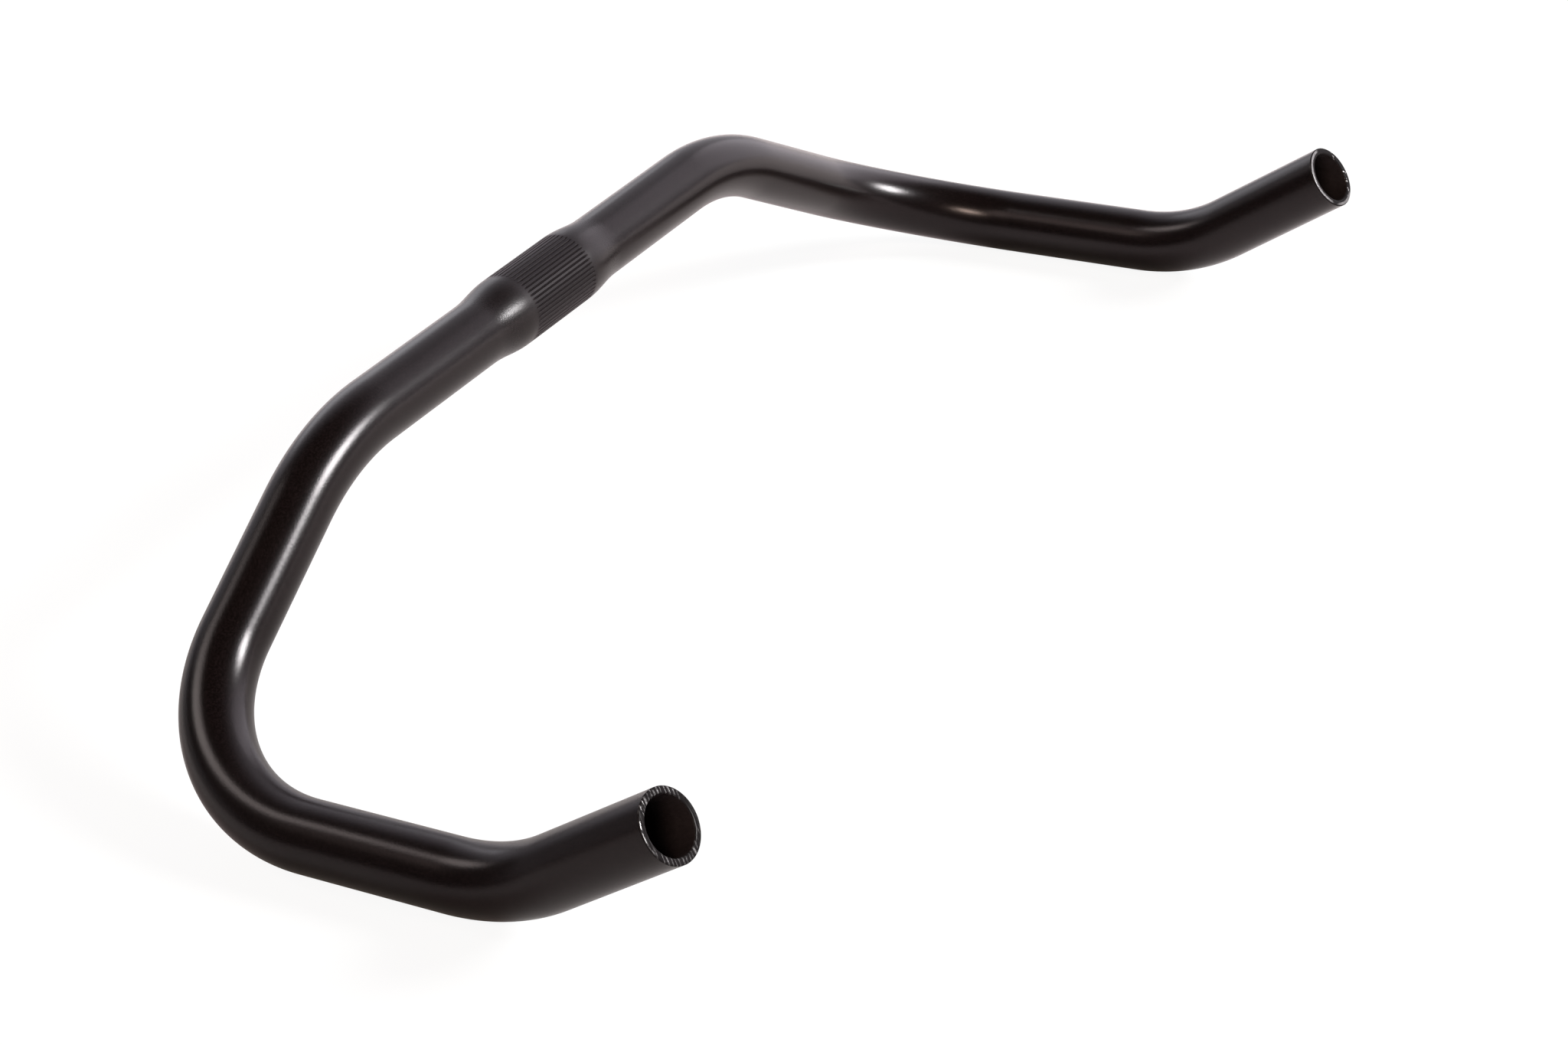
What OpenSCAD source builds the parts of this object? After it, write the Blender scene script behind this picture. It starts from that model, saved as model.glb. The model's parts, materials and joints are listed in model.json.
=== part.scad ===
// A drop bullhorn handlebar: one aluminium tube, bulged and knurled where the stem clamps it,
// with each side bent down, forward and then up to a horn whose sawn end is open.
//
// The bar runs left to right along X, forward is +Y and up is +Z. The origin is the middle of
// the clamp. The right half is drawn from its bend points, and the left half is its mirror image.

/* [Tube] */
// Outside diameter of the tube
tube_d = 22.2; // [20:0.1:24]
// Thickness of the tube's wall
wall = 2.2; // [1.2:0.1:3]
// Chamfer on the inner and outer edges of the sawn ends
edge_break = 0.3; // [0.1:0.05:0.6]

/* [Clamp] */
// Diameter of the bulged band that the stem clamps
clamp_d = 25.4; // [25:0.1:31.8]
// Length of the knurled band
knurl_l = 35; // [24:1:44]
// Plain rim of the clamp band beyond each end of the knurl
plain_rim = 0.5; // [0.5:0.5:4]
// Length of the taper from the clamp band down to the tube
taper_l = 18; // [12:1:24]
// Number of knurled grooves round the band
groove_count = 52; // [36:1:60]
// Width of one groove at the surface
groove_w = 0.6; // [0.3:0.05:0.8]

/* [Tops] */
// Straight from the middle of the bar to the top bend
top_l = 92; // [76:1:120]
// Centreline radius of the top bend
top_bend_r = 88; // [60:1:120]
// Angle of the top bend
top_bend_a = 30; // [15:1:45]
// How far the top bend leans forward of straight down
top_bend_lean = 5.5; // [0:0.5:20]

/* [Legs] */
// Straight between the top bend and the corner bend
leg_l = 45.5; // [20:0.5:80]
// Centreline radius of the corner bend, which turns the leg straight forward
corner_r = 59; // [45:1:80]

/* [Forearms and horns] */
// Straight between the corner bend and the horn bend
forearm_l = 50; // [20:1:90]
// Centreline radius of the horn bend
horn_bend_r = 67; // [45:1:90]
// Angle by which the horn rises above the forearm
horn_rise_a = 32; // [10:1:60]
// Straight horn from its bend to the sawn end
horn_l = 48; // [30:1:90]

/* [Hidden] */

$fn = 64;
bar_color = "#2c2a2c";

// Radii of the tube and of the clamp band
tube_r = tube_d / 2;
bore_r = tube_r - wall;
clamp_r = clamp_d / 2;

// Half lengths of the clamp band and of the whole swaged section
band_half = knurl_l / 2 + plain_rim;
clamp_half = band_half + taper_l;
// The taper is an S curve in this many straight steps
taper_steps = 14;

// Directions of the centreline: along the top, down the leg, along the forearm, up the horn
top_dir = [1, 0, 0];
lean_dir = [0, sin(top_bend_lean), -cos(top_bend_lean)];
leg_dir = cos(top_bend_a) * top_dir + sin(top_bend_a) * lean_dir;
forearm_dir = [0, 1, 0];
horn_dir = [0, cos(horn_rise_a), sin(horn_rise_a)];
corner_a = acos(leg_dir * forearm_dir);

// Distance from each bend's corner point back to where its arc starts
top_bend_t = top_bend_r * tan(top_bend_a / 2);
corner_t = corner_r * tan(corner_a / 2);
horn_bend_t = horn_bend_r * tan(horn_rise_a / 2);

// Points along the centreline where one stretch ends and the next begins
top_end = top_l * top_dir;
leg_start = top_end + top_bend_t * (top_dir + leg_dir);
leg_end = leg_start + leg_l * leg_dir;
forearm_start = leg_end + corner_t * (leg_dir + forearm_dir);
forearm_end = forearm_start + forearm_l * forearm_dir;
horn_start = forearm_end + horn_bend_t * (forearm_dir + horn_dir);

function unit(v) = v / norm(v);
// The part of direction u that is square to direction t: the side to which a bend turns
function square_to(t, u) = unit(u - (u * t) * t);
// Height of a smooth S curve at the share s of its length, from 1 at s = 0 to 0 at s = 1
function s_curve(s) = (1 + cos(180 * s)) / 2;
// Radius of the bulged section at the distance x from the middle of the bar
function bulge_r(x) =
    let (s = min(1, max(0, (abs(x) - band_half) / taper_l)))
    tube_r + (clamp_r - tube_r) * s_curve(s);

// Puts the children's +Z along direction t and their +X towards the side n, at the point p
module along(p, t, n) {
    m = cross(t, n);
    multmatrix([
        [n.x, m.x, t.x, p.x],
        [n.y, m.y, t.y, p.y],
        [n.z, m.z, t.z, p.z]
    ]) children();
}

// Section of the tube
module tube_ring() {
    difference() {
        circle(r = tube_r);
        circle(r = bore_r);
    }
}

// A straight tube along +Z
module straight(l) {
    linear_extrude(l) tube_ring();
}

// A bent tube that leaves the origin along +Z and turns towards +X
module bend(r, a) {
    translate([r, 0, 0]) rotate([90, 0, 180])
        rotate_extrude(angle = a) translate([r, 0]) tube_ring();
}

// A straight tube along +Z whose far end is sawn off and its edges broken
module sawn_straight(l) {
    rotate_extrude() polygon([
        [bore_r, 0],
        [tube_r, 0],
        [tube_r, l - edge_break],
        [tube_r - edge_break, l],
        [bore_r + edge_break, l],
        [bore_r, l - edge_break]
    ]);
}

// The bulged section along Z: its bore follows the outside, so that the wall stays even
module bulge() {
    taper = [for (i = [0 : taper_steps]) band_half + taper_l * i / taper_steps];
    ends = [for (i = [taper_steps : -1 : 0]) -taper[i]];
    stations = concat(ends, taper);
    outside = [for (x = stations) [bulge_r(x), x]];
    inside = [for (i = [len(stations) - 1 : -1 : 0]) [bulge_r(stations[i]) - wall, stations[i]]];
    rotate_extrude() polygon(concat(outside, inside));
}

// Straight round-bottomed grooves, evenly spaced round the band, that bite into the stem
module knurl_grooves() {
    for (i = [0 : groove_count - 1])
        rotate([0, 0, (i + 0.5) * 360 / groove_count])
            translate([clamp_r, 0, -knurl_l / 2])
                cylinder(d = groove_w, h = knurl_l, $fn = 16);
}

module clamp_section() {
    color(bar_color)
        rotate([0, 90, 0]) difference() {
            bulge();
            knurl_grooves();
        }
}

module right_top() {
    color(bar_color)
        along(clamp_half * top_dir, top_dir, lean_dir) straight(top_l - clamp_half);
}

module right_top_bend() {
    color(bar_color)
        along(top_end, top_dir, lean_dir) bend(top_bend_r, top_bend_a);
}

module right_leg() {
    color(bar_color)
        along(leg_start, leg_dir, square_to(leg_dir, forearm_dir)) straight(leg_l);
}

module right_corner_bend() {
    color(bar_color)
        along(leg_end, leg_dir, square_to(leg_dir, forearm_dir)) bend(corner_r, corner_a);
}

module right_forearm() {
    color(bar_color)
        along(forearm_start, forearm_dir, square_to(forearm_dir, horn_dir)) straight(forearm_l);
}

module right_horn_bend() {
    color(bar_color)
        along(forearm_end, forearm_dir, square_to(forearm_dir, horn_dir))
            bend(horn_bend_r, horn_rise_a);
}

module right_horn() {
    color(bar_color)
        along(horn_start, horn_dir, square_to(horn_dir, [0, 0, 1])) sawn_straight(horn_l);
}

module left() {
    mirror([1, 0, 0]) children();
}

clamp_section();
right_top();
right_top_bend();
right_leg();
right_corner_bend();
right_forearm();
right_horn_bend();
right_horn();
left() right_top();  // left_top
left() right_top_bend();  // left_top_bend
left() right_leg();  // left_leg
left() right_corner_bend();  // left_corner_bend
left() right_forearm();  // left_forearm
left() right_horn_bend();  // left_horn_bend
left() right_horn();  // left_horn
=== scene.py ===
# %% [markdown]
# # A bare bullhorn handlebar in satin black
#
# The real bar is one aluminium tube. Its middle is swaged thicker and knurled, so that a stem
# can grip it. Each side is bent down, then forward, and at last up to a short horn, and both
# ends are sawn off and left open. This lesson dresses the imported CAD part: it sweeps one
# seamless skin along the same route, and gives it a coat, bare sawn ends and plain light.

import json
import math

import bmesh
import bpy
import numpy as np
from mathutils import Matrix, Quaternion, Vector


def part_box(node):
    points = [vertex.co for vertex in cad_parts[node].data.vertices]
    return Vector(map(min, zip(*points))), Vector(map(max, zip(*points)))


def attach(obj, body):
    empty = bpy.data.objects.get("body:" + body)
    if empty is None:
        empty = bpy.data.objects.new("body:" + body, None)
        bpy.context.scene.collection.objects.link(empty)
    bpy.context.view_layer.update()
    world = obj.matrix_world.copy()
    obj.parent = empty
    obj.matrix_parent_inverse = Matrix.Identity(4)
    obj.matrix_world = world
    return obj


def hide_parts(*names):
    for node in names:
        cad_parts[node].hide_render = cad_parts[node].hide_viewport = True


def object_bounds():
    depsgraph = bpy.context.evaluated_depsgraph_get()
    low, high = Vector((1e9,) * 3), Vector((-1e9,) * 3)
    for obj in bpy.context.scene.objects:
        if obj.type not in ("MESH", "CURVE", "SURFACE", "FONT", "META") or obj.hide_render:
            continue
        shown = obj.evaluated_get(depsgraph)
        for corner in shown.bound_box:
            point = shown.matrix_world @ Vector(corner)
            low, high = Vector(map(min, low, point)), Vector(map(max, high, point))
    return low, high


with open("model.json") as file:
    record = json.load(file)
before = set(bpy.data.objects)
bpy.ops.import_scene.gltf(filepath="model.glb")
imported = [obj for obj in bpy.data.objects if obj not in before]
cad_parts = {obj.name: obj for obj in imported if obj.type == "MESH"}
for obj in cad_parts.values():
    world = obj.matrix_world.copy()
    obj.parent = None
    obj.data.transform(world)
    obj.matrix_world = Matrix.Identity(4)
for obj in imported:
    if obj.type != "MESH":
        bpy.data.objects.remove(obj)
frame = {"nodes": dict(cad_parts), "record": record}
cad_low, cad_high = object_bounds()
MM = 0.001
print("CAD box in mm:", [round(side / MM, 1) for side in cad_high - cad_low])

# %% [markdown]
# ## The camera
#
# The camera comes first, so that every later step can be judged from the same place. A camera
# could be turned with Euler angles, but the three things that someone behind a camera thinks
# of say it more plainly: where the camera stands, what it looks along and how far it leans.
# Its right, up and backward directions become the columns of its matrix.

# %% Stand the camera at the front right, above the horns
CAMERA_AZIMUTH = math.radians(123.094)
CAMERA_ELEVATION = math.radians(28.331)
CAMERA_LEAN = math.radians(-6.041)
CAMERA_AIM = Vector((0.06348, 0.12935, -0.03))
CAMERA_DISTANCE = 1.0934
LENS_IN_MM = 82.289
SENSOR_IN_MM = 36


def look_from(azimuth, elevation):
    """The direction from the aim back towards whoever stands at that azimuth and elevation."""
    return Vector((
        math.sin(azimuth) * math.cos(elevation),
        -math.cos(azimuth) * math.cos(elevation),
        math.sin(elevation),
    ))


backward = look_from(CAMERA_AZIMUTH, CAMERA_ELEVATION)
level_right = Vector((0, 0, 1)).cross(backward).normalized()
level_up = backward.cross(level_right)
right = level_right * math.cos(CAMERA_LEAN) + level_up * math.sin(CAMERA_LEAN)
up = level_up * math.cos(CAMERA_LEAN) - level_right * math.sin(CAMERA_LEAN)

camera_data = bpy.data.cameras.new("camera")
camera_data.lens = LENS_IN_MM
camera_data.sensor_width = SENSOR_IN_MM
camera_data.clip_start = 0.05
camera_data.clip_end = 100
camera = bpy.data.objects.new("camera", camera_data)
bpy.context.scene.collection.objects.link(camera)
turn = Matrix((right, up, backward)).transposed()
camera.matrix_world = Matrix.LocRotScale(CAMERA_AIM + backward * CAMERA_DISTANCE, turn, None)
bpy.context.scene.camera = camera
print("camera at", [round(c, 3) for c in camera.matrix_world.translation])

# %% [markdown]
# ## The route of the tube
#
# A tube bender works from straight lengths and bends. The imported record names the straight
# walls as places where clamps, levers and grips go, with a middle, a direction and a length,
# so the route is read from there and needs no sizes of its own. Between two straights the
# bend is the one arc that leaves the first and arrives on the second without a kink.

# %% Read the straight walls from the record
mounts = {mount["name"]: mount for mount in frame["record"]["mounts"]}


def straight_wall(name):
    """Start, end and direction of the straight wall that a mount names."""
    mount = mounts[name]
    way = Vector(mount["axis"]).normalized()
    half = way * mount["dims"]["length_mm"] * MM / 2
    middle = Vector(mount["pos_m"])
    return middle - half, middle + half, way


TUBE_R = mounts["right_horn_grip"]["dims"]["r_mm"] * MM
BORE_R = mounts["right_end_bore"]["dims"]["r_mm"] * MM
CLAMP_R = mounts["stem_clamp"]["dims"]["r_mm"] * MM
BAND_HALF = mounts["stem_clamp"]["dims"]["length_mm"] * MM / 2
TAPER_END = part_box("clamp_section")[1].x
WALL = TUBE_R - BORE_R
EDGE_BREAK = 0.3 * MM
print("tube radius, wall, clamp radius in mm:",
      [round(size / MM, 2) for size in (TUBE_R, WALL, CLAMP_R)])

# %% Lay stations along the right half, from the middle of the bar to its mouth
STRAIGHT_STEP = 2.5 * MM
BEND_STEP = 1.5 * MM


def add_straight(stations, end, way, step):
    """Adds evenly spaced stations in a straight line up to the end."""
    start = stations[-1][0]
    count = max(1, round((end - start).length / step))
    for i in range(1, count + 1):
        stations.append((start.lerp(end, i / count), way))


def add_bend(stations, end, end_way, step):
    """Adds the stations of the arc that turns the last station's way into the end's way."""
    start, start_way = stations[-1]
    angle = start_way.angle(end_way)
    radius = (end - start).length / (2 * math.sin(angle / 2))
    inward = (end_way - start_way * start_way.dot(end_way)).normalized()
    count = math.ceil(radius * angle / step)
    for i in range(1, count + 1):
        a = angle * i / count
        centre = start + radius * (math.sin(a) * start_way + (1 - math.cos(a)) * inward)
        stations.append((centre, (math.cos(a) * start_way + math.sin(a) * inward).normalized()))
    print(f"bend of {math.degrees(angle):.1f} degrees on a radius of {radius / MM:.1f} mm")


_, top_end, top_way = straight_wall("right_top_band")
leg_start, leg_end, leg_way = straight_wall("right_leg_band")
forearm_start, forearm_end, forearm_way = straight_wall("right_forearm_band")
horn_start, horn_wall_end, horn_way = straight_wall("right_horn_grip")

right_half = [(Vector((0, 0, 0)), top_way)]

# %% [markdown]
# ## Stations of the clamp, the straights and the bends
#
# A skin is only as smooth as its rings, and rings cost faces. The taper and the bends get
# closely spaced rings, and the straights get few. The grooves run out to nothing over the last
# millimetre or two of the knurl, where the rolling wheel lifted off, so a few rings lie close
# together there. The left half is the mirror image of the right half.

# %% Collect the stations of the whole bar
KNURL_HALF = 17.5 * MM
KNURL_STEP = 5 * MM
RUN_OUT = 2 * MM
RUN_OUT_ZONE = 1.25 * RUN_OUT
RUN_OUT_STEP = 0.25 * MM
TAPER_STEP = 1 * MM
LIP_RING = 0.55 * MM

add_straight(right_half, Vector((KNURL_HALF - RUN_OUT_ZONE, 0, 0)), top_way, KNURL_STEP)
add_straight(right_half, Vector((KNURL_HALF, 0, 0)), top_way, RUN_OUT_STEP)
right_half.append((Vector((BAND_HALF, 0, 0)), top_way))
add_straight(right_half, Vector((TAPER_END, 0, 0)), top_way, TAPER_STEP)
add_straight(right_half, top_end, top_way, STRAIGHT_STEP)
add_bend(right_half, leg_start, leg_way, BEND_STEP)
add_straight(right_half, leg_end, leg_way, STRAIGHT_STEP)
add_bend(right_half, forearm_start, forearm_way, BEND_STEP)
add_straight(right_half, forearm_end, forearm_way, STRAIGHT_STEP)
add_bend(right_half, horn_start, horn_way, BEND_STEP)
mouth = horn_wall_end + EDGE_BREAK * horn_way
add_straight(right_half, mouth - LIP_RING * horn_way, horn_way, STRAIGHT_STEP)
right_half.append((horn_wall_end, horn_way))
print(len(right_half), "stations on the right half")

# %% [markdown]
# ## Directions round the tube
#
# Each ring needs a direction to start from. If that direction were worked out afresh at every
# station, the skin would twist where the tube bends. Carrying it along from the middle, and
# turning it only as far as the tube itself turns, keeps every line of faces straight along the
# tube. The same carried directions say how the tube would lie if it were pulled straight,
# which is how grain and scratches are placed later.

# %% Carry the ring's start direction along the right half, then mirror it
centres, ways, starts = [], [], []
carried = Vector((0, 0, 1))
for station, (centre, way) in enumerate(right_half):
    if station:
        carried = ways[-1].rotation_difference(way) @ carried
    carried = (carried - way * carried.dot(way)).normalized()
    centres.append(centre)
    ways.append(way)
    starts.append(carried.copy())

right_centres, right_ways, right_starts = (np.array(list(map(tuple, each)))
                                           for each in (centres, ways, starts))
steps = np.linalg.norm(np.diff(right_centres, axis=0), axis=1)
right_along = np.concatenate([[0], np.cumsum(steps)])

ACROSS = np.array([-1, 1, 1])
centres = np.concatenate([(right_centres * ACROSS)[:0:-1], right_centres])
ways = np.concatenate([-(right_ways * ACROSS)[:0:-1], right_ways])
starts = np.concatenate([(right_starts * ACROSS)[:0:-1], right_starts])
along = np.concatenate([-right_along[:0:-1], right_along])
sides = np.cross(ways, starts)
print(f"the tube is {(along[-1] - along[0] + 2 * EDGE_BREAK) / MM:.0f} mm long, along its middle")

# %% [markdown]
# ## The knurl round the clamp
#
# The clamp band is rolled with straight grooves so that it can't turn in the stem. They are
# real notches in the skin and not a bump texture, because they break the highlight and the
# outline. One groove and one land need ten points, and those ten are repeated round the ring.
# Away from the clamp every fifth point is enough, which keeps the skin light. The rolling
# wheel never starts every groove at the same line, so each end of each groove stops a random
# half millimetre short, with a fixed seed so that it comes out the same every time.

# %% Angles and depths of one groove, repeated round the band
GROOVE_COUNT = 52
GROOVE_HALF = 0.3 * MM
LIP_HALF = 0.35 * MM
POINTS_PER_GROOVE = 10
THIN_OUT = 5
STOPS_SHORT = 0.5 * MM
GROOVE_SEED = 7

half_pitch = math.pi * CLAMP_R / GROOVE_COUNT
# Half way up the groove's wall, near its top, on its lip and a little way onto the land
one_side = np.array([0.5 * GROOVE_HALF, 0.88 * GROOVE_HALF, LIP_HALF, 1.25 * LIP_HALF])
offsets = np.concatenate([[0], one_side, [half_pitch], 2 * half_pitch - one_side[::-1]])
from_groove = np.minimum(offsets, 2 * half_pitch - offsets)
depth_of_one = np.sqrt(np.maximum(0, GROOVE_HALF ** 2 - from_groove ** 2))

pitch_starts = np.arange(GROOVE_COUNT) * 2 * half_pitch
fine_angles = (pitch_starts[:, None] + offsets).ravel() / CLAMP_R
fine_depths = np.tile(depth_of_one, GROOVE_COUNT)
plain_angles = fine_angles[::THIN_OUT]

nearest_groove = (np.arange(len(fine_angles)) + POINTS_PER_GROOVE // 2) // POINTS_PER_GROOVE
groove_of_point = nearest_groove % GROOVE_COUNT
stops_short = np.random.default_rng(GROOVE_SEED).uniform(0, STOPS_SHORT, (2, GROOVE_COUNT))
print(len(fine_angles), "points round the clamp and", len(plain_angles), "round the tube")

# %% [markdown]
# ## The skin's radius at any distance from the middle
#
# The band is swaged up from the tube, and the taper between them has no kink at either end. A
# straight cone would have one, and half a cosine wave has none. The grooves are then sunk into
# that radius.

# %% Outside radius along the bar
HAIR = 0.001 * MM


def bulge_radius(distance):
    """Radius of the skin at that distance from the middle: the band, an S curve, the tube."""
    share = min(1, max(0, (abs(distance) - BAND_HALF) / (TAPER_END - BAND_HALF)))
    return TUBE_R + (CLAMP_R - TUBE_R) * (1 + math.cos(math.pi * share)) / 2


def groove_depths(distance):
    """How deep each point of the ring is sunk: whole along the knurl, easing out at its ends."""
    short = stops_short[int(distance > 0)][groove_of_point]
    share = np.clip((KNURL_HALF - short - abs(distance)) / RUN_OUT, 0, 1)
    return fine_depths * share * share * (3 - 2 * share)


def skin_ring(distance):
    """Angles and radii of the outer skin's ring at that distance from the middle."""
    radius = bulge_radius(distance)
    if abs(distance) > TAPER_END + HAIR:
        return plain_angles, np.full(len(plain_angles), radius)
    return fine_angles, radius - groove_depths(distance)


print("radius at the middle and at the taper's half way in mm:",
      round(bulge_radius(0) / MM, 2), round(bulge_radius((BAND_HALF + TAPER_END) / 2) / MM, 2))

# %% [markdown]
# ## One closed loop of rings
#
# A tube with two open ends is a ring of rings: along the outside, over the sawn rim, back
# through the bore and over the other rim. Listing the rings in that order and joining each
# to the next closes the mesh by itself, with every face turned outwards. Solidify could
# thicken a single skin, but it would copy the knurl into the bore and round off the rims.

# %% List the rings: outside, right rim, bore, left rim
rings = []


def add_ring(station, angles, radii, finish, past=0.0):
    """Notes one ring: where it stands, its points and the finish of the faces after it."""
    rings.append((station, angles, radii, finish, past))


def add_rim(station, radii_and_pasts):
    """Notes the rings of a sawn rim, each with its radius and how far past the wall it is."""
    for radius, past in radii_and_pasts:
        add_ring(station, plain_angles, np.full(len(plain_angles), radius), SAWN, past)


COAT, SAWN, BORE = 0, 1, 2
last = len(centres) - 1
FACE_INSET = 0.2 * MM
outer_face, inner_face = TUBE_R - EDGE_BREAK, BORE_R + EDGE_BREAK
rim_radii = [outer_face, outer_face - FACE_INSET, (outer_face + inner_face) / 2,
             inner_face + FACE_INSET, inner_face]

for station, distance in enumerate(along):
    angles, radii = skin_ring(distance)
    add_ring(station, angles, radii, SAWN if station == last else COAT)
add_rim(last, [(radius, EDGE_BREAK) for radius in rim_radii])
for station in range(last, -1, -1):
    radius = bulge_radius(along[station]) - WALL
    finish = SAWN if station == 0 else BORE
    add_ring(station, plain_angles, np.full(len(plain_angles), radius), finish)
add_rim(0, [(radius, -EDGE_BREAK) for radius in reversed(rim_radii)])
print(len(rings), "rings")

# %% [markdown]
# ## From rings to points
#
# Each ring stands square to the tube's way at its station, so a point on it is the station's
# middle plus two directions, each times a cosine or a sine. The same point is noted once more
# as it would lie on a straightened bar, in millimetres along Z. The finishes will use that.

# %% Turn the rings into points
points, straightened, first_of_ring = [], [], []
for station, angles, radii, _, past in rings:
    first_of_ring.append(sum(len(each) for each in points))
    round_up = radii * np.cos(angles)
    round_side = radii * np.sin(angles)
    points.append(centres[station] + ways[station] * past
                  + round_up[:, None] * starts[station] + round_side[:, None] * sides[station])
    distance = np.full(len(angles), along[station] + past)
    straightened.append(np.stack([round_up, round_side, distance], 1))
points = np.concatenate(points)
straightened = np.concatenate(straightened)
print(len(points), "points")

# %% [markdown]
# ## From points to faces
#
# Two rings with the same number of points are joined by four-sided faces. Where the fine rings
# of the taper meet the plain ones of the tube, one plain gap faces five fine ones, and a small
# fan of triangles and four-sided faces bridges them. Without the fan, the fine points would
# have to run on to the horns, with five times as many faces.

# %% Join each ring to the next
def fan(few, many, flip):
    """Faces from a ring to one with five times as many points, each a triangle or a quad."""
    count = len(few)
    for k in range(count):
        a, b = few[k], few[(k + 1) % count]
        m = [many[(THIN_OUT * k + j) % len(many)] for j in range(THIN_OUT + 1)]
        for face in ((a, m[1], m[0]), (a, m[2], m[1]), (a, b, m[3], m[2]),
                     (b, m[4], m[3]), (b, m[5], m[4])):
            yield face if flip else face[::-1]


def join(this, following):
    """Faces between two rings of points."""
    if len(this) == len(following):
        for k in range(len(this)):
            n = (k + 1) % len(this)
            yield this[k], this[n], following[n], following[k]
    elif len(this) < len(following):
        yield from fan(this, following, flip=True)
    else:
        yield from fan(following, this, flip=False)


faces, finishes = [], []
for number, (_, angles, _, finish, _) in enumerate(rings):
    following = (number + 1) % len(rings)
    this_ring = range(first_of_ring[number], first_of_ring[number] + len(angles))
    start = first_of_ring[following]
    next_ring = range(start, start + len(rings[following][1]))
    new_faces = list(join(this_ring, next_ring))
    faces += new_faces
    finishes += [finish] * len(new_faces)
print(len(faces), "faces")

# %% [markdown]
# ## The mesh
#
# Blender takes the points and faces as they are. The finish of each face is a number that
# points at one of the material slots, and the straightened place of each point is stored as
# an attribute, which a material can read by its name. A closed mesh has two faces at every
# edge, and its volume comes out positive if they all face outwards.

# %% Make the mesh and check that it is closed and faces outwards
mesh = bpy.data.meshes.new("handlebar_tube")
mesh.from_pydata(points.tolist(), [], faces)
mesh.polygons.foreach_set("material_index", finishes)
mesh.polygons.foreach_set("use_smooth", [True] * len(faces))
straight_bar = mesh.attributes.new("straight_bar", "FLOAT_VECTOR", "POINT")
straight_bar.data.foreach_set("vector", (straightened / MM).ravel())
mesh.update()

CM3_IN_M3 = 1e6
probe = bmesh.new()
probe.from_mesh(mesh)
open_edges = sum(not edge.is_manifold for edge in probe.edges)
volume = probe.calc_volume(signed=True)
probe.free()
print("open edges:", open_edges, "volume in cm3:", round(volume * CM3_IN_M3, 2))

handlebar = bpy.data.objects.new("handlebar_tube", mesh)
bpy.context.scene.collection.objects.link(handlebar)

# %% [markdown]
# ## Small helpers for materials
#
# A finish in Blender is a tree of nodes. Writing each node out in full hides the idea behind
# plumbing, so two helpers do it: one starts a finish with its main shader, and one adds a node
# and fills its inputs, either with a value or with another node's output. The others are short
# names for the nodes that are used again and again.

# %% Helpers that start a finish and add nodes to it
def start_finish(name):
    """A new material with one Principled shader, its node tree and that shader."""
    finish = bpy.data.materials.new(name)
    finish.use_nodes = True
    tree = finish.node_tree
    tree.nodes.clear()
    output = tree.nodes.new("ShaderNodeOutputMaterial")
    shader = tree.nodes.new("ShaderNodeBsdfPrincipled")
    tree.links.new(shader.outputs["BSDF"], output.inputs["Surface"])
    return finish, tree, shader


def fill(tree, node, inputs):
    """Sets or links the named or numbered inputs of a node."""
    for name, value in inputs.items():
        if isinstance(value, bpy.types.NodeSocket):
            tree.links.new(value, node.inputs[name])
        else:
            node.inputs[name].default_value = value


def add_node(tree, kind, inputs, output=0, **settings):
    """Adds a node with its settings and inputs, and gives back one of its outputs."""
    node = tree.nodes.new("ShaderNode" + kind)
    for name, value in settings.items():
        setattr(node, name, value)
    fill(tree, node, inputs)
    return node.outputs[output]


print("helpers for finishes and nodes are ready")

# %% Helpers for values and colours
def noise(tree, place, scale, detail=2.0, roughness=0.5):
    """Soft random grey between 0 and 1, with about that many blots to the unit."""
    return add_node(tree, "TexNoise", {"Vector": place, "Scale": scale, "Detail": detail,
                                       "Roughness": roughness})


def stretched(tree, place, factors):
    """The place with each direction scaled by its own factor."""
    return add_node(tree, "VectorMath", {0: place, 1: factors}, operation="MULTIPLY")


def ranged(tree, value, low, high, out_low=0.0, out_high=1.0):
    """Moves a value from one range to another, and holds it at both ends."""
    return add_node(tree, "MapRange", {"Value": value, "From Min": low, "From Max": high,
                                       "To Min": out_low, "To Max": out_high})


def mixed(tree, share, first, second):
    """A colour between two others, by a share from 0 to 1."""
    # A Mix node has sockets for numbers, vectors and colours. Numbers 6, 7 and 2 are colours.
    return add_node(tree, "Mix", {0: share, 6: first, 7: second}, output=2, data_type="RGBA")


def mathed(tree, operation, first, second=0.0):
    """One operation on one or two values, such as ADD, SINE or ABSOLUTE."""
    return add_node(tree, "Math", {0: first, 1: second}, operation=operation)


def multiplied(tree, first, *others):
    """All the values multiplied, so that a share counts only where the others do."""
    for other in others:
        first = mathed(tree, "MULTIPLY", first, other)
    return first


def largest(tree, first, *others):
    """The largest of the values, so that a share counts where any of them does."""
    for other in others:
        first = mathed(tree, "MAXIMUM", first, other)
    return first


print("helpers for values and colours are ready")

# %% Helpers for places on the straightened bar
def part_of(tree, place, axis):
    """One of the three numbers of a place: its X, Y or Z."""
    return add_node(tree, "SeparateXYZ", {0: place}, output=axis)


def bar_place(tree):
    """Where a point lies in millimetres if the bent bar is pulled straight along Z."""
    return add_node(tree, "Attribute", {}, output="Vector", attribute_name="straight_bar")


def distance_out(tree, place):
    """How far a point of the straightened bar is from the middle of the tube."""
    flat_place = stretched(tree, place, (1.0, 1.0, 0.0))
    return add_node(tree, "VectorMath", {0: flat_place}, output="Value", operation="LENGTH")


def toward(tree, place, angle):
    """How far a point of the straightened bar lies towards that angle round the tube."""
    way = (math.cos(math.radians(angle)), math.sin(math.radians(angle)), 0)
    return add_node(tree, "VectorMath", {0: place, 1: way}, output="Value",
                    operation="DOT_PRODUCT")


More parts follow.
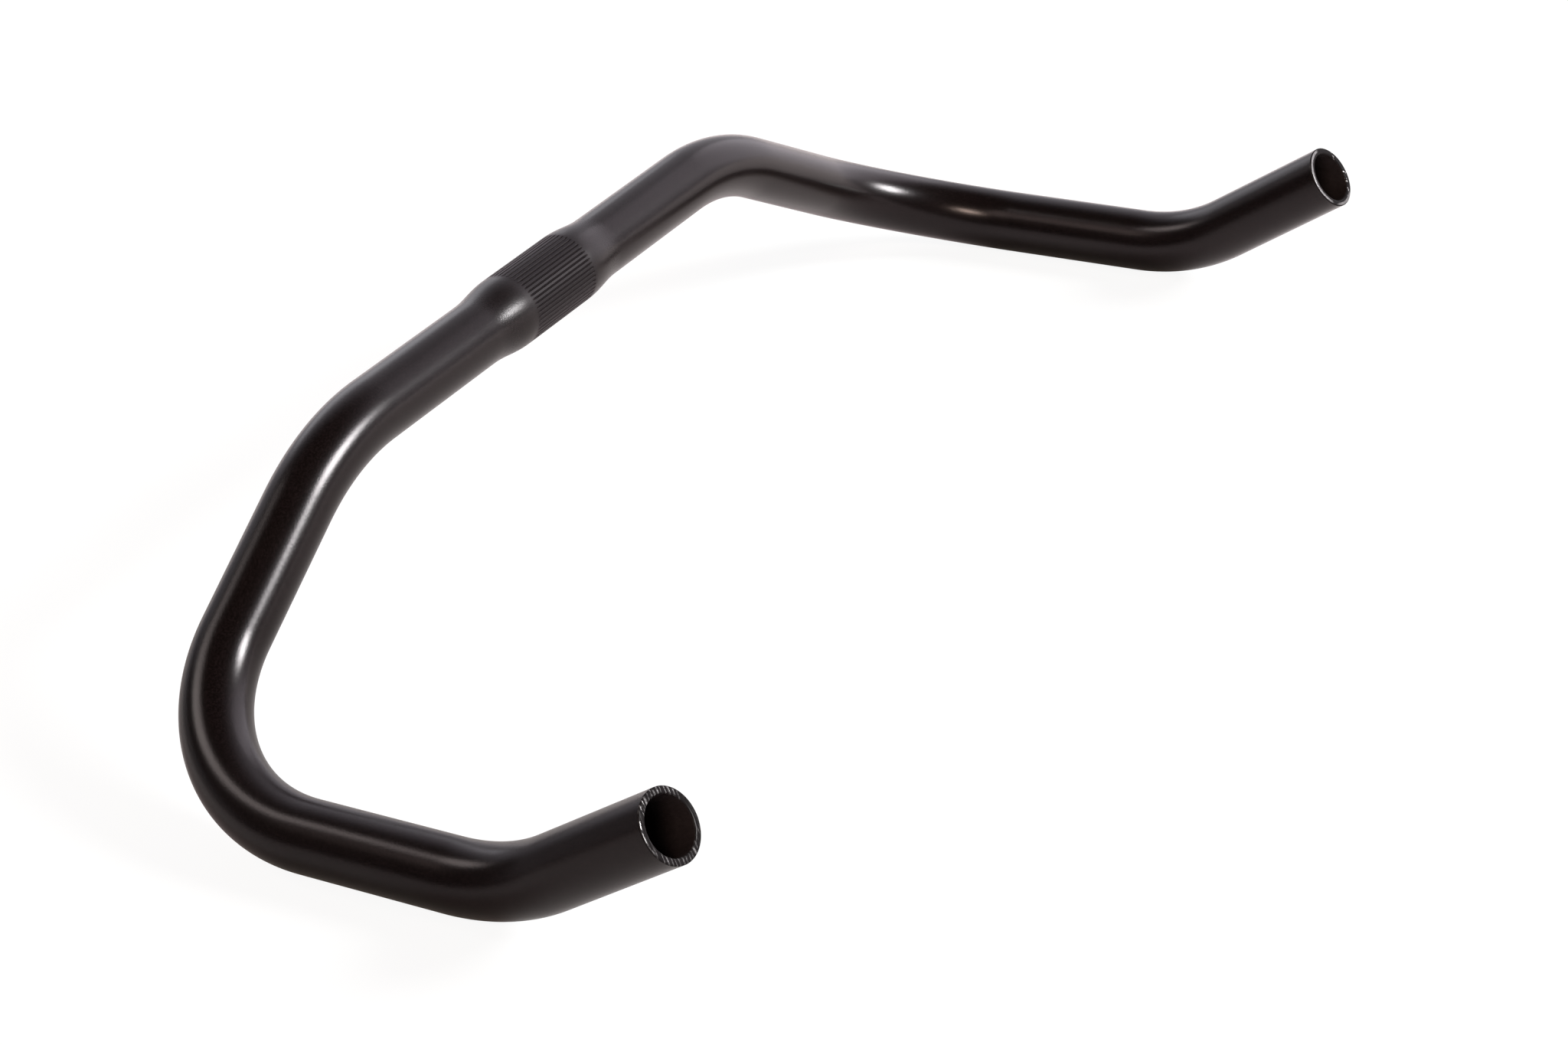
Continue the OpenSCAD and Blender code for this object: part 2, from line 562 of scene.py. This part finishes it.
TUBE, BORE_OPENING, CLAMP, KNURL_END = (size / MM
                                        for size in (TUBE_R, BORE_R, CLAMP_R, KNURL_HALF))
print("radii and knurl for the finishes, in mm:",
      [round(size, 2) for size in (TUBE, BORE_OPENING, CLAMP, KNURL_END)])

# %% [markdown]
# ## The satin black coat
#
# The coat is a thin black anodised or painted layer over brushed aluminium. It is almost
# black, so what the eye reads is its gloss: a tight but grainy highlight along the tube. Four
# things make it: an even roughness with slow blotches where hands have rubbed it, a grain of
# about half a millimetre, faint lines round the tube from polishing and pale specks in the
# black. All of them are placed on the straightened bar, so that they follow the bends.

# %% Colour and gloss of the plain tube
BLACK = (0.0018, 0.0011, 0.0010, 1)
HANDLED_BLACK = (0.0028, 0.0016, 0.0015, 1)
SPECK = (0.0054, 0.0033, 0.0034, 1)
SMOOTHEST, DULLEST = 0.225, 0.255
GRAIN_SPREAD = 0.02

coat, tree, shader = start_finish("satin_black_coat")
place = bar_place(tree)
blotches = noise(tree, place, 0.035, detail=3.0)
grain = noise(tree, place, 1.9, detail=2.5, roughness=0.6)
specks = ranged(tree, noise(tree, place, 1.7, detail=2.0), 0.42, 0.66)
coat_colour = mixed(tree, blotches, BLACK, HANDLED_BLACK)
coat_colour = mixed(tree, specks, coat_colour, SPECK)
rubbed = ranged(tree, blotches, 0.3, 0.7, SMOOTHEST, DULLEST)
grained = ranged(tree, grain, 0.3, 0.7, -GRAIN_SPREAD, GRAIN_SPREAD)
coat_roughness = mathed(tree, "ADD", rubbed, grained)
print("the plain coat takes", len(tree.nodes), "nodes")

# %% [markdown]
# ## Where the clamp section is worn, and painted shade in its grooves
#
# The knurl wears in its own way: its lands are scuffed. Its grooves are painted dark, as painted
# shade for the shadow that falls inside them. The tapers beside the band were squeezed down by
# dies and kept a slightly duller skin than the tube. Such wear and shade could be painted on an
# image, but the skin already says where they belong. The painted shade lies where the skin is
# sunk, and a cosine of the angle round the bar, which peaks once in each groove, spreads it
# softly over the lips. The rest goes by the distance from the middle of the bar.

# %% Find the grooves, the lands and the tapers
GROOVE_SHADE_STARTS, GROOVE_SHADE_IS_FULL = CLAMP - 0.04, CLAMP - 0.16
LINES_FADE = 0.6
SCUFF_STARTS, SCUFF_IS_FULL = KNURL_END + 1.5, KNURL_END - 1.0
DULL_STARTS, DULL_IS_FULL = TAPER_END / MM + 4, BAND_HALF / MM + 6
TAPER_DULLING = 0.07

from_middle = mathed(tree, "ABSOLUTE", part_of(tree, place, "Z"))
# painted shade: the deeper a point lies in a groove, the darker the groove is painted
sunk = ranged(tree, distance_out(tree, place), GROOVE_SHADE_STARTS, GROOVE_SHADE_IS_FULL)
around = mathed(tree, "ARCTAN2", part_of(tree, place, "Y"), part_of(tree, place, "X"))
wave = mathed(tree, "COSINE", multiplied(tree, around, GROOVE_COUNT))
line_end = ranged(tree, from_middle, KNURL_END, KNURL_END - LINES_FADE)
# painted shade: a soft dark line down the middle of each groove
painted_groove_shade = multiplied(tree, ranged(tree, wave, -0.10, 0.75), line_end)
on_knurl = ranged(tree, from_middle, KNURL_END + 0.1, KNURL_END)
# the share of painted shade in the grooves, only on the knurl
in_groove = multiplied(tree, on_knurl, largest(tree, sunk, painted_groove_shade))
scuffed = ranged(tree, from_middle, SCUFF_STARTS, SCUFF_IS_FULL)
swaged = ranged(tree, from_middle, DULL_STARTS, DULL_IS_FULL, 0.0, TAPER_DULLING)
print("the grooves repeat every", round(360 / GROOVE_COUNT, 2), "degrees")

# %% [markdown]
# ## Dull lands and painted shade in the grooves
#
# A clear coat always mirrors a little, however rough it is. A dull metal of almost no colour
# mirrors nearly nothing, which is the easiest way to a deeper black. So the grooves are given
# such a metal and a dark colour as painted shade, and the scuffed lands a share of the metal.

# %% Wear the lands and paint shade into the grooves
LAND = (0.0050, 0.0038, 0.0042, 1)
LAND_ROUGHNESS = 0.46
LAND_METAL = 0.42
# painted shade: the colour and gloss of the grooves, standing in for the shadow inside them
GROOVE_SHADE = (0.0080, 0.0066, 0.0068, 1)
GROOVE_SHADE_ROUGHNESS = 0.6

coat_roughness = mathed(tree, "ADD", coat_roughness, swaged)
coat_roughness = ranged(tree, scuffed, 0.0, 1.0, coat_roughness, LAND_ROUGHNESS)
coat_roughness = ranged(tree, in_groove, 0.0, 1.0, coat_roughness, GROOVE_SHADE_ROUGHNESS)
coat_colour = mixed(tree, scuffed, coat_colour, LAND)
# painted shade goes into the colour of the grooves
coat_colour = mixed(tree, in_groove, coat_colour, GROOVE_SHADE)
# painted shade: the grooves become a dark metal that mirrors almost nothing; scuffed lands get a
# share
shade_and_scuff_metal = largest(tree, in_groove, multiplied(tree, scuffed, LAND_METAL))
print("the worn coat takes", len(tree.nodes), "nodes")

# %% [markdown]
# ## Relief and gloss of the coat
#
# The grain and the polishing lines are pressed into the coat, about a fortieth of a millimetre
# deep, and that is what breaks a highlight into grains. Real relief so fine would need
# millions of faces, so a Bump node tilts the surface for the light instead. The coat mirrors
# less than ordinary paint, which a low IOR says, and its mirrored light is a little warm.

# %% Finish the coat
RELIEF_DEPTH = 0.026 * MM
LINES_IN_RELIEF = 0.35

polish_lines = noise(tree, stretched(tree, place, (0.12, 0.12, 2.6)), 1.0, detail=2.0)
relief = mathed(tree, "ADD", grain, multiplied(tree, polish_lines, LINES_IN_RELIEF))
bump = add_node(tree, "Bump", {"Strength": 1.0, "Distance": RELIEF_DEPTH, "Height": relief})
fill(tree, shader, {"Base Color": coat_colour, "Roughness": coat_roughness,
                    "Metallic": shade_and_scuff_metal, "Normal": bump})
shader.inputs["IOR"].default_value = 1.315
shader.inputs["Specular Tint"].default_value = (1.0, 0.92, 0.95, 1)
print("the coat has", len(tree.nodes), "nodes")

# %% [markdown]
# ## The sawn rims
#
# Both ends were sawn, and then coated with the rest. A saw blade leaves parallel marks that run
# the same way over the whole face, so they show as short ticks where they cross the wall and
# as thin lines where they run along it. A sine wave, shaken by a noise, gives such marks.

# %% Saw marks
SAW_ANGLE = 47
SAW_PITCH = 1.35
SAW_SHAKE = 9.0

rim, tree, shader = start_finish("sawn_rim")
place = bar_place(tree)
across_saw = toward(tree, place, SAW_ANGLE)
along_saw = toward(tree, place, SAW_ANGLE + 90)
saw_place = add_node(tree, "CombineXYZ", {"X": across_saw,
                                          "Y": multiplied(tree, along_saw, 0.12)})
shake = multiplied(tree, noise(tree, saw_place, 0.7, detail=3.0), SAW_SHAKE)
stroke = multiplied(tree, across_saw, 2 * math.pi / SAW_PITCH)
saw_marks = mathed(tree, "SINE", mathed(tree, "ADD", stroke, shake))
print("one saw mark every", SAW_PITCH, "mm")

# %% [markdown]
# ## Bare ticks on the right rim
#
# Where the coat has worn off the crests of the marks, the aluminium shows, dull and grey. Two
# noises leave some of the marks out and break up others, and the ticks fade where the marks
# run along the wall. Only the right rim is worn so. Which end a point belongs to is told by
# the sign of its distance along the straightened bar.

# %% Wear the crests bare
end_side = part_of(tree, place, "Z")
right_end = ranged(tree, end_side, -1.0, 1.0)
left_end = ranged(tree, end_side, 1.0, -1.0)
crests = ranged(tree, saw_marks, 0.2, 1.0)
breaks = ranged(tree, noise(tree, place, 1.3, detail=2.0), 0.36, 0.62, 0.0, 0.75)
faint = ranged(tree, noise(tree, saw_place, 0.9, detail=1.0), 0.38, 0.60, 0.1, 1.1)
crossing = ranged(tree, mathed(tree, "ABSOLUTE", along_saw), 3.0, 7.5, 0.1, 1.0)
worn_less = ranged(tree, along_saw, 0.0, 8.0, 1.0, 0.5)
ticks = multiplied(tree, crests, breaks, faint, crossing, worn_less, right_end)
print("the saw marks take", len(tree.nodes), "nodes")

# %% [markdown]
# ## Chips and a bright line on the right rim
#
# The right rim is also chipped along one stretch of its outer edge, and a thin line of bare
# metal follows part of its inner chamfer. Both are narrow bands between two radii. Which
# stretch they take is told by how far a point lies towards one side: the rim's outer edge is
# 11.1 mm from its middle, so only a short arc of it lies more than 9.2 mm that way.

# %% Chip the outer edge and line the inner one
CHIPPED_SHARE = 0.65
LINE_SHARE = 0.13
LINE_ANGLE = 212

distance_from_axis = distance_out(tree, place)
chips = ranged(tree, noise(tree, place, 0.6, detail=3.0), 0.42, 0.56)
outer_edge = multiplied(tree, ranged(tree, distance_from_axis, TUBE - 0.70, TUBE - 0.50),
                        ranged(tree, distance_from_axis, TUBE - 0.18, TUBE - 0.28))
chipped = multiplied(tree, ranged(tree, across_saw, 9.2, 10.0), chips, CHIPPED_SHARE, outer_edge)
inside_face = ranged(tree, distance_from_axis, BORE_OPENING + 0.5, BORE_OPENING + 0.4)
outside_bore = ranged(tree, distance_from_axis, BORE_OPENING + 0.22, BORE_OPENING + 0.32)
inner_edge = multiplied(tree, inside_face, outside_bore)
line_side = ranged(tree, toward(tree, place, LINE_ANGLE), 7.6, 8.9, 0.0, LINE_SHARE)
chamfer_line = multiplied(tree, inner_edge, line_side)
right_bare = multiplied(tree, largest(tree, chipped, chamfer_line), right_end)
print("the right rim's wear takes", len(tree.nodes), "nodes so far")

# %% [markdown]
# ## The rubbed left rim
#
# The left rim has stood on something, which rubbed an even line round part of it, and it has a
# few nicks on the far side. The line is again a band between two radii, and the nicks are what
# is left of a noise when only its highest blots are kept.

# %% Rub the left rim and nick it
RUBBED_ANGLE = 267
FOOT_ANGLE = 150
NICKED_ANGLE = 80

rubbed_side = ranged(tree, toward(tree, place, RUBBED_ANGLE), 3.2, 5.0)
rubbed_foot = ranged(tree, toward(tree, place, FOOT_ANGLE), 8.6, 9.6, 0.0, 0.7)
rubbed_face = multiplied(tree, ranged(tree, distance_from_axis, TUBE - 1.3, TUBE - 1.05),
                         ranged(tree, distance_from_axis, TUBE - 0.24, TUBE - 0.36))
rub_wear = ranged(tree, noise(tree, place, 0.7, detail=2.0), 0.25, 0.6, 0.4, 0.62)
rubbed_line = multiplied(tree, largest(tree, rubbed_side, rubbed_foot), rubbed_face, rub_wear)
nicks = ranged(tree, noise(tree, place, 0.55, detail=1.0), 0.635, 0.675, 0.0, 0.7)
nicked = multiplied(tree, nicks, ranged(tree, toward(tree, place, NICKED_ANGLE), 5.5, 6.5))
left_bare = multiplied(tree, largest(tree, rubbed_line, nicked), left_end)
print("the wear of both rims takes", len(tree.nodes), "nodes")

# %% [markdown]
# ## The rims' finish
#
# All that wear is one share, from coated to bare. It fades the colour from the coat's black to
# aluminium, turns the metal on and sets the roughness. Where nothing is worn, a finer noise
# makes the coated face scuffed and uneven. The saw marks are also pressed in, very slightly.

# %% Finish the rim
COATED_RIM = (0.0075, 0.0064, 0.0068, 1)
BARE_ALUMINIUM = (0.26, 0.245, 0.25, 1)
BARE_ROUGHNESS = 0.36
SAW_DEPTH = 0.006 * MM

bare = largest(tree, ticks, right_bare, left_bare)
rim_colour = mixed(tree, bare, COATED_RIM, BARE_ALUMINIUM)
scuffs = ranged(tree, noise(tree, place, 0.35, detail=3.0), 0.42, 0.66, 0.18, 0.32)
rim_roughness = ranged(tree, bare, 0.0, 1.0, scuffs, BARE_ROUGHNESS)
bump = add_node(tree, "Bump", {"Strength": 1.0, "Distance": SAW_DEPTH, "Height": saw_marks})
fill(tree, shader, {"Base Color": rim_colour, "Metallic": bare, "Roughness": rim_roughness,
                    "Normal": bump})
shader.inputs["IOR"].default_value = 1.08
print("the rim has", len(tree.nodes), "nodes")

# %% [markdown]
# ## The bore
#
# The inside was never polished: it is drawn tube with the coat's dark colour on it, dull and
# faintly lined lengthwise. It only has to be darker and duller than the skin, and to show
# lines that run into the dark when someone looks in.

# %% Make the bore
BORE_DARK = (0.0095, 0.0065, 0.0070, 1)
BORE_DUST = (0.0180, 0.0125, 0.0130, 1)
DRAWN_DEPTH = 0.08 * MM

bore, tree, shader = start_finish("dull_bore")
place = bar_place(tree)
drawn_lines = noise(tree, stretched(tree, place, (1.5, 1.5, 0.03)), 1.0, detail=3.0)
dust = noise(tree, place, 0.9, detail=3.0)
bore_colour = mixed(tree, dust, BORE_DARK, BORE_DUST)
bore_roughness = ranged(tree, dust, 0.3, 0.7, 0.5, 0.62)
bump = add_node(tree, "Bump", {"Strength": 1.0, "Distance": DRAWN_DEPTH,
                               "Height": drawn_lines})
fill(tree, shader, {"Base Color": bore_colour, "Roughness": bore_roughness, "Normal": bump})
shader.inputs["IOR"].default_value = 1.3
print("the bore has", len(tree.nodes), "nodes")

# %% [markdown]
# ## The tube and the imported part
#
# The slots have to be filled in the order of the numbers that the faces carry: coat, rim, bore.
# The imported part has 15 solids, because the bar was drawn stretch by stretch. The one skin
# stands for all of them, since a real bent tube shows no joint between its straights and bends.

# %% Put the finishes on the tube and hand it to the frame
for finish in (coat, rim, bore):
    mesh.materials.append(finish)
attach(handlebar, "root")
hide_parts(*frame["nodes"])
print("the tube stands for", len(frame["nodes"]), "packed nodes")

# %% [markdown]
# ## The floor
#
# The bar lies on a plain pale floor. The floor is wide, so that it still fills the view from
# low angles, and it lies just at the lowest point of the part. One round face is enough, since
# it only has to be flat.

# %% Lay the floor
FLOOR_RADIUS = 12.0
FLOOR_SIDES = 96

floor_mesh = bpy.data.meshes.new("floor")
corner_angles = np.linspace(0, 2 * math.pi, FLOOR_SIDES, endpoint=False)
corners = [(FLOOR_RADIUS * math.cos(a), FLOOR_RADIUS * math.sin(a), cad_low.z)
           for a in corner_angles]
floor_mesh.from_pydata(corners, [], [list(range(FLOOR_SIDES))])
floor = bpy.data.objects.new("floor", floor_mesh)
bpy.context.scene.collection.objects.link(floor)
print("floor at", round(cad_low.z / MM, 2), "mm")

# %% [markdown]
# ## The floor that the coat mirrors
#
# The floor is an ordinary matt surface with a glow mixed in. The sides of a glossy black tube
# show the floor around it, and the glow lifts that floor: a little everywhere, and much more
# on the side of the room that is brighter. Stronger lamps would lift it too, but they would
# also burn out the highlights.

# %% The matt floor and its glow in reflections
SHADED_GLOW = (0.20, 0.14, 0.15, 1)
BRIGHT_GLOW = (2.0, 1.72, 1.72, 1)
GLOW_STARTS, GLOW_IS_FULL = 0.12, -0.62

pale, tree, shader = start_finish("pale_floor")
shader.inputs["Base Color"].default_value = (0.85, 0.84, 0.84, 1)
shader.inputs["Roughness"].default_value = 0.9
shader.inputs["Specular IOR Level"].default_value = 0.0
spot = add_node(tree, "NewGeometry", {}, "Position")
floor_x, floor_y = part_of(tree, spot, "X"), part_of(tree, spot, "Y")
toward_bright = ranged(tree, floor_x, GLOW_STARTS, GLOW_IS_FULL)
mirrored = mixed(tree, toward_bright, SHADED_GLOW, BRIGHT_GLOW)
print("the glow grows over", round(GLOW_STARTS - GLOW_IS_FULL, 2), "m of floor")

# %% [markdown]
# ## No glow beside the arms
#
# Nothing can shade a glow, so the coat would mirror a bright floor even where the arms touch
# it and their own shadow is dark. Each forearm lies straight above a short line on the floor,
# and the distance from that line fades the glow out. One sum serves both arms, because
# the left one is the mirror image of the right.

# %% Fade the glow beside the arms
ARM_X = forearm_start.x
ARM_Y = (forearm_start.y + forearm_end.y) / 2
ARM_HALF = (forearm_end.y - forearm_start.y) / 2
GLOW_GONE, GLOW_BACK = 12 * MM, 35 * MM
NO_GLOW = (0, 0, 0, 1)

beside_arm = mathed(tree, "SUBTRACT", mathed(tree, "ABSOLUTE", floor_x), ARM_X)
before_arm = mathed(tree, "ABSOLUTE", mathed(tree, "SUBTRACT", floor_y, ARM_Y))
past_arm = largest(tree, mathed(tree, "SUBTRACT", before_arm, ARM_HALF), 0.0)
from_arm = add_node(tree, "CombineXYZ", {"X": beside_arm, "Y": past_arm})
gap = add_node(tree, "VectorMath", {0: from_arm}, output="Value", operation="LENGTH")
clear_of_arm = ranged(tree, gap, GLOW_GONE, GLOW_BACK)
mirrored = mixed(tree, clear_of_arm, NO_GLOW, mirrored)
print("the arms touch the floor at", round(ARM_X / MM), "mm on either side")

# %% [markdown]
# ## White to the camera
#
# The Light Path node tells which kind of ray looks at the floor. To the camera the glow is
# plain white and takes the larger share, and what is left of the matt surface carries the
# bar's shadow. In reflections the matt surface counts for more, so that the coat mirrors the
# dark of the shadow.

# %% Mix the glow into the floor
GLOW_SHARE = 0.90
MIRRORED_GLOW_SHARE = 0.58

ray = tree.nodes.new("ShaderNodeLightPath")
camera_ray = ray.outputs["Is Camera Ray"]
mirror_ray = largest(tree, ray.outputs["Is Glossy Ray"], ray.outputs["Is Transmission Ray"])
shown = mixed(tree, camera_ray, mirrored, (1, 1, 1, 1))
glow = add_node(tree, "Emission", {"Color": shown, "Strength": 1.0})
glow_share = largest(tree, multiplied(tree, camera_ray, GLOW_SHARE),
                     multiplied(tree, mirror_ray, MIRRORED_GLOW_SHARE))
blend = add_node(tree, "MixShader", {0: glow_share, 1: shader.outputs["BSDF"], 2: glow})
output = next(node for node in tree.nodes if node.type == "OUTPUT_MATERIAL")
tree.links.new(blend, output.inputs["Surface"])
floor_mesh.materials.append(pale)
print("the floor has", len(tree.nodes), "nodes")

# %% [markdown]
# ## The room
#
# A black bar is drawn by what it mirrors, so the room matters more than the colour. A studio
# is pale low down and dark overhead, and here one side is brighter than the other. A gradient
# on the world does that: height above the horizon fades it to dark, and the direction towards
# the bright side lifts it. The camera itself sees plain white behind the floor.

# %% Make the room
BRIGHT_SIDE = look_from(math.radians(-77), 0)
ROOM_TINT = (0.98, 0.94, 1.02, 1)
DIM, BRIGHT = 0.07, 0.95

room = bpy.data.worlds.new("studio")
bpy.context.scene.world = room
room.use_nodes = True
tree = room.node_tree
tree.nodes.clear()
way = add_node(tree, "TexCoord", {}, output="Generated")
height = part_of(tree, way, "Z")
toward_side = add_node(tree, "VectorMath", {0: way, 1: BRIGHT_SIDE}, output="Value",
                       operation="DOT_PRODUCT")
fade = ranged(tree, height, 0.65, 0.90, 1.0, 0.0)
side_light = ranged(tree, toward_side, 0.24, 0.60, DIM, BRIGHT)
strength = multiplied(tree, fade, side_light)
to_camera = tree.nodes.new("ShaderNodeLightPath").outputs["Is Camera Ray"]
tint = mixed(tree, to_camera, ROOM_TINT, (1, 1, 1, 1))
shown_strength = ranged(tree, to_camera, 0, 1, strength, 1.0)
air = add_node(tree, "Background", {"Color": tint, "Strength": shown_strength})
output = tree.nodes.new("ShaderNodeOutputWorld")
tree.links.new(air, output.inputs["Surface"])
print("the room has", len(tree.nodes), "nodes")

# %% [markdown]
# ## The lamps
#
# Softboxes give the long highlights. Each is an area lamp described the way it is seen from
# the bar: its azimuth and elevation, how many degrees it fills, and how bright it looks. The
# size and the power that Blender wants follow from those and from the distance, so a lamp can
# be moved away and its highlight hardly changes.

# %% A softbox, as seen from the bar
FAR_OFF = 5.0
CLOSE_BY = 1.23
WATTS_TO_SHINE = 4
bar_middle = (cad_low + cad_high) / 2


def hang_softbox(name, azimuth, elevation, width, height, brightness, colour,
                 distance=FAR_OFF, roll=0.0):
    """An area lamp aimed at the bar that fills that many degrees and looks that bright."""
    lamp = bpy.data.lights.new(name, "AREA")
    lamp.shape = "ELLIPSE"
    lamp.size = 2 * distance * math.tan(math.radians(width) / 2)
    lamp.size_y = 2 * distance * math.tan(math.radians(height) / 2)
    lamp.color = colour
    area = math.pi * lamp.size * lamp.size_y / 4
    lamp.energy = brightness * area * WATTS_TO_SHINE
    softbox = bpy.data.objects.new(name, lamp)
    back = look_from(math.radians(azimuth), math.radians(elevation))
    turn = back.to_track_quat("Z", "Y") @ Quaternion((0, 0, 1), math.radians(roll))
    softbox.matrix_world = Matrix.LocRotScale(bar_middle + back * distance, turn, None)
    softbox.visible_camera = False
    bpy.context.scene.collection.objects.link(softbox)
    print(f"{name}: {lamp.size:.2f} by {lamp.size_y:.2f} m, {lamp.energy:.0f} W")


print("softboxes hang", FAR_OFF, "or", CLOSE_BY, "m from the middle of the bar")

# %% [markdown]
# ## Where the lamps hang
#
# The back softbox draws the long bright lines, the right and rear lamps the two thin ones, and
# the wide dim ones only lift the sides of the tube. Most stand far off, so that a highlight
# falls at the same place on both arms. Two of the dim ones stand close by, behind the bar and
# to its left, because the left horn is the one that should catch them.

# %% Hang the lamps
hang_softbox("back_softbox", -155.5, 29, 22, 14.5, 74.0, (0.96, 1.0, 0.98), roll=-22)
hang_softbox("left_softbox", -100, 16, 50, 50, 1.0, (1.0, 0.93, 1.0))
hang_softbox("right_lamp", 105, 39, 23, 9, 30.0, (1.0, 0.82, 0.68))
hang_softbox("right_wall", 62, 46, 24, 22, 1.8, (1.0, 0.84, 0.76))
hang_softbox("rear_lamp", 18, 44.5, 14, 28, 4.6, (1.0, 0.93, 0.88), roll=-30)
hang_softbox("low_softbox", -34, 21.5, 36, 20, 1.1, (0.94, 0.96, 1.0), distance=CLOSE_BY)
hang_softbox("rear_softbox", -7, 26, 36, 15, 0.34, (0.98, 0.96, 1.0), distance=CLOSE_BY)
hang_softbox("rear_wall", 14, 7, 44, 12, 0.25, (1.0, 0.94, 0.96))

# %% [markdown]
# ## How colours are shown
#
# Blender's usual view softens bright colours as film does. The finishes here were written as
# the colours that they should show, so the plain Standard view is the right one.

# %% Show colours as they are written
bpy.context.scene.view_settings.view_transform = "Standard"
print("view:", bpy.context.scene.view_settings.view_transform)
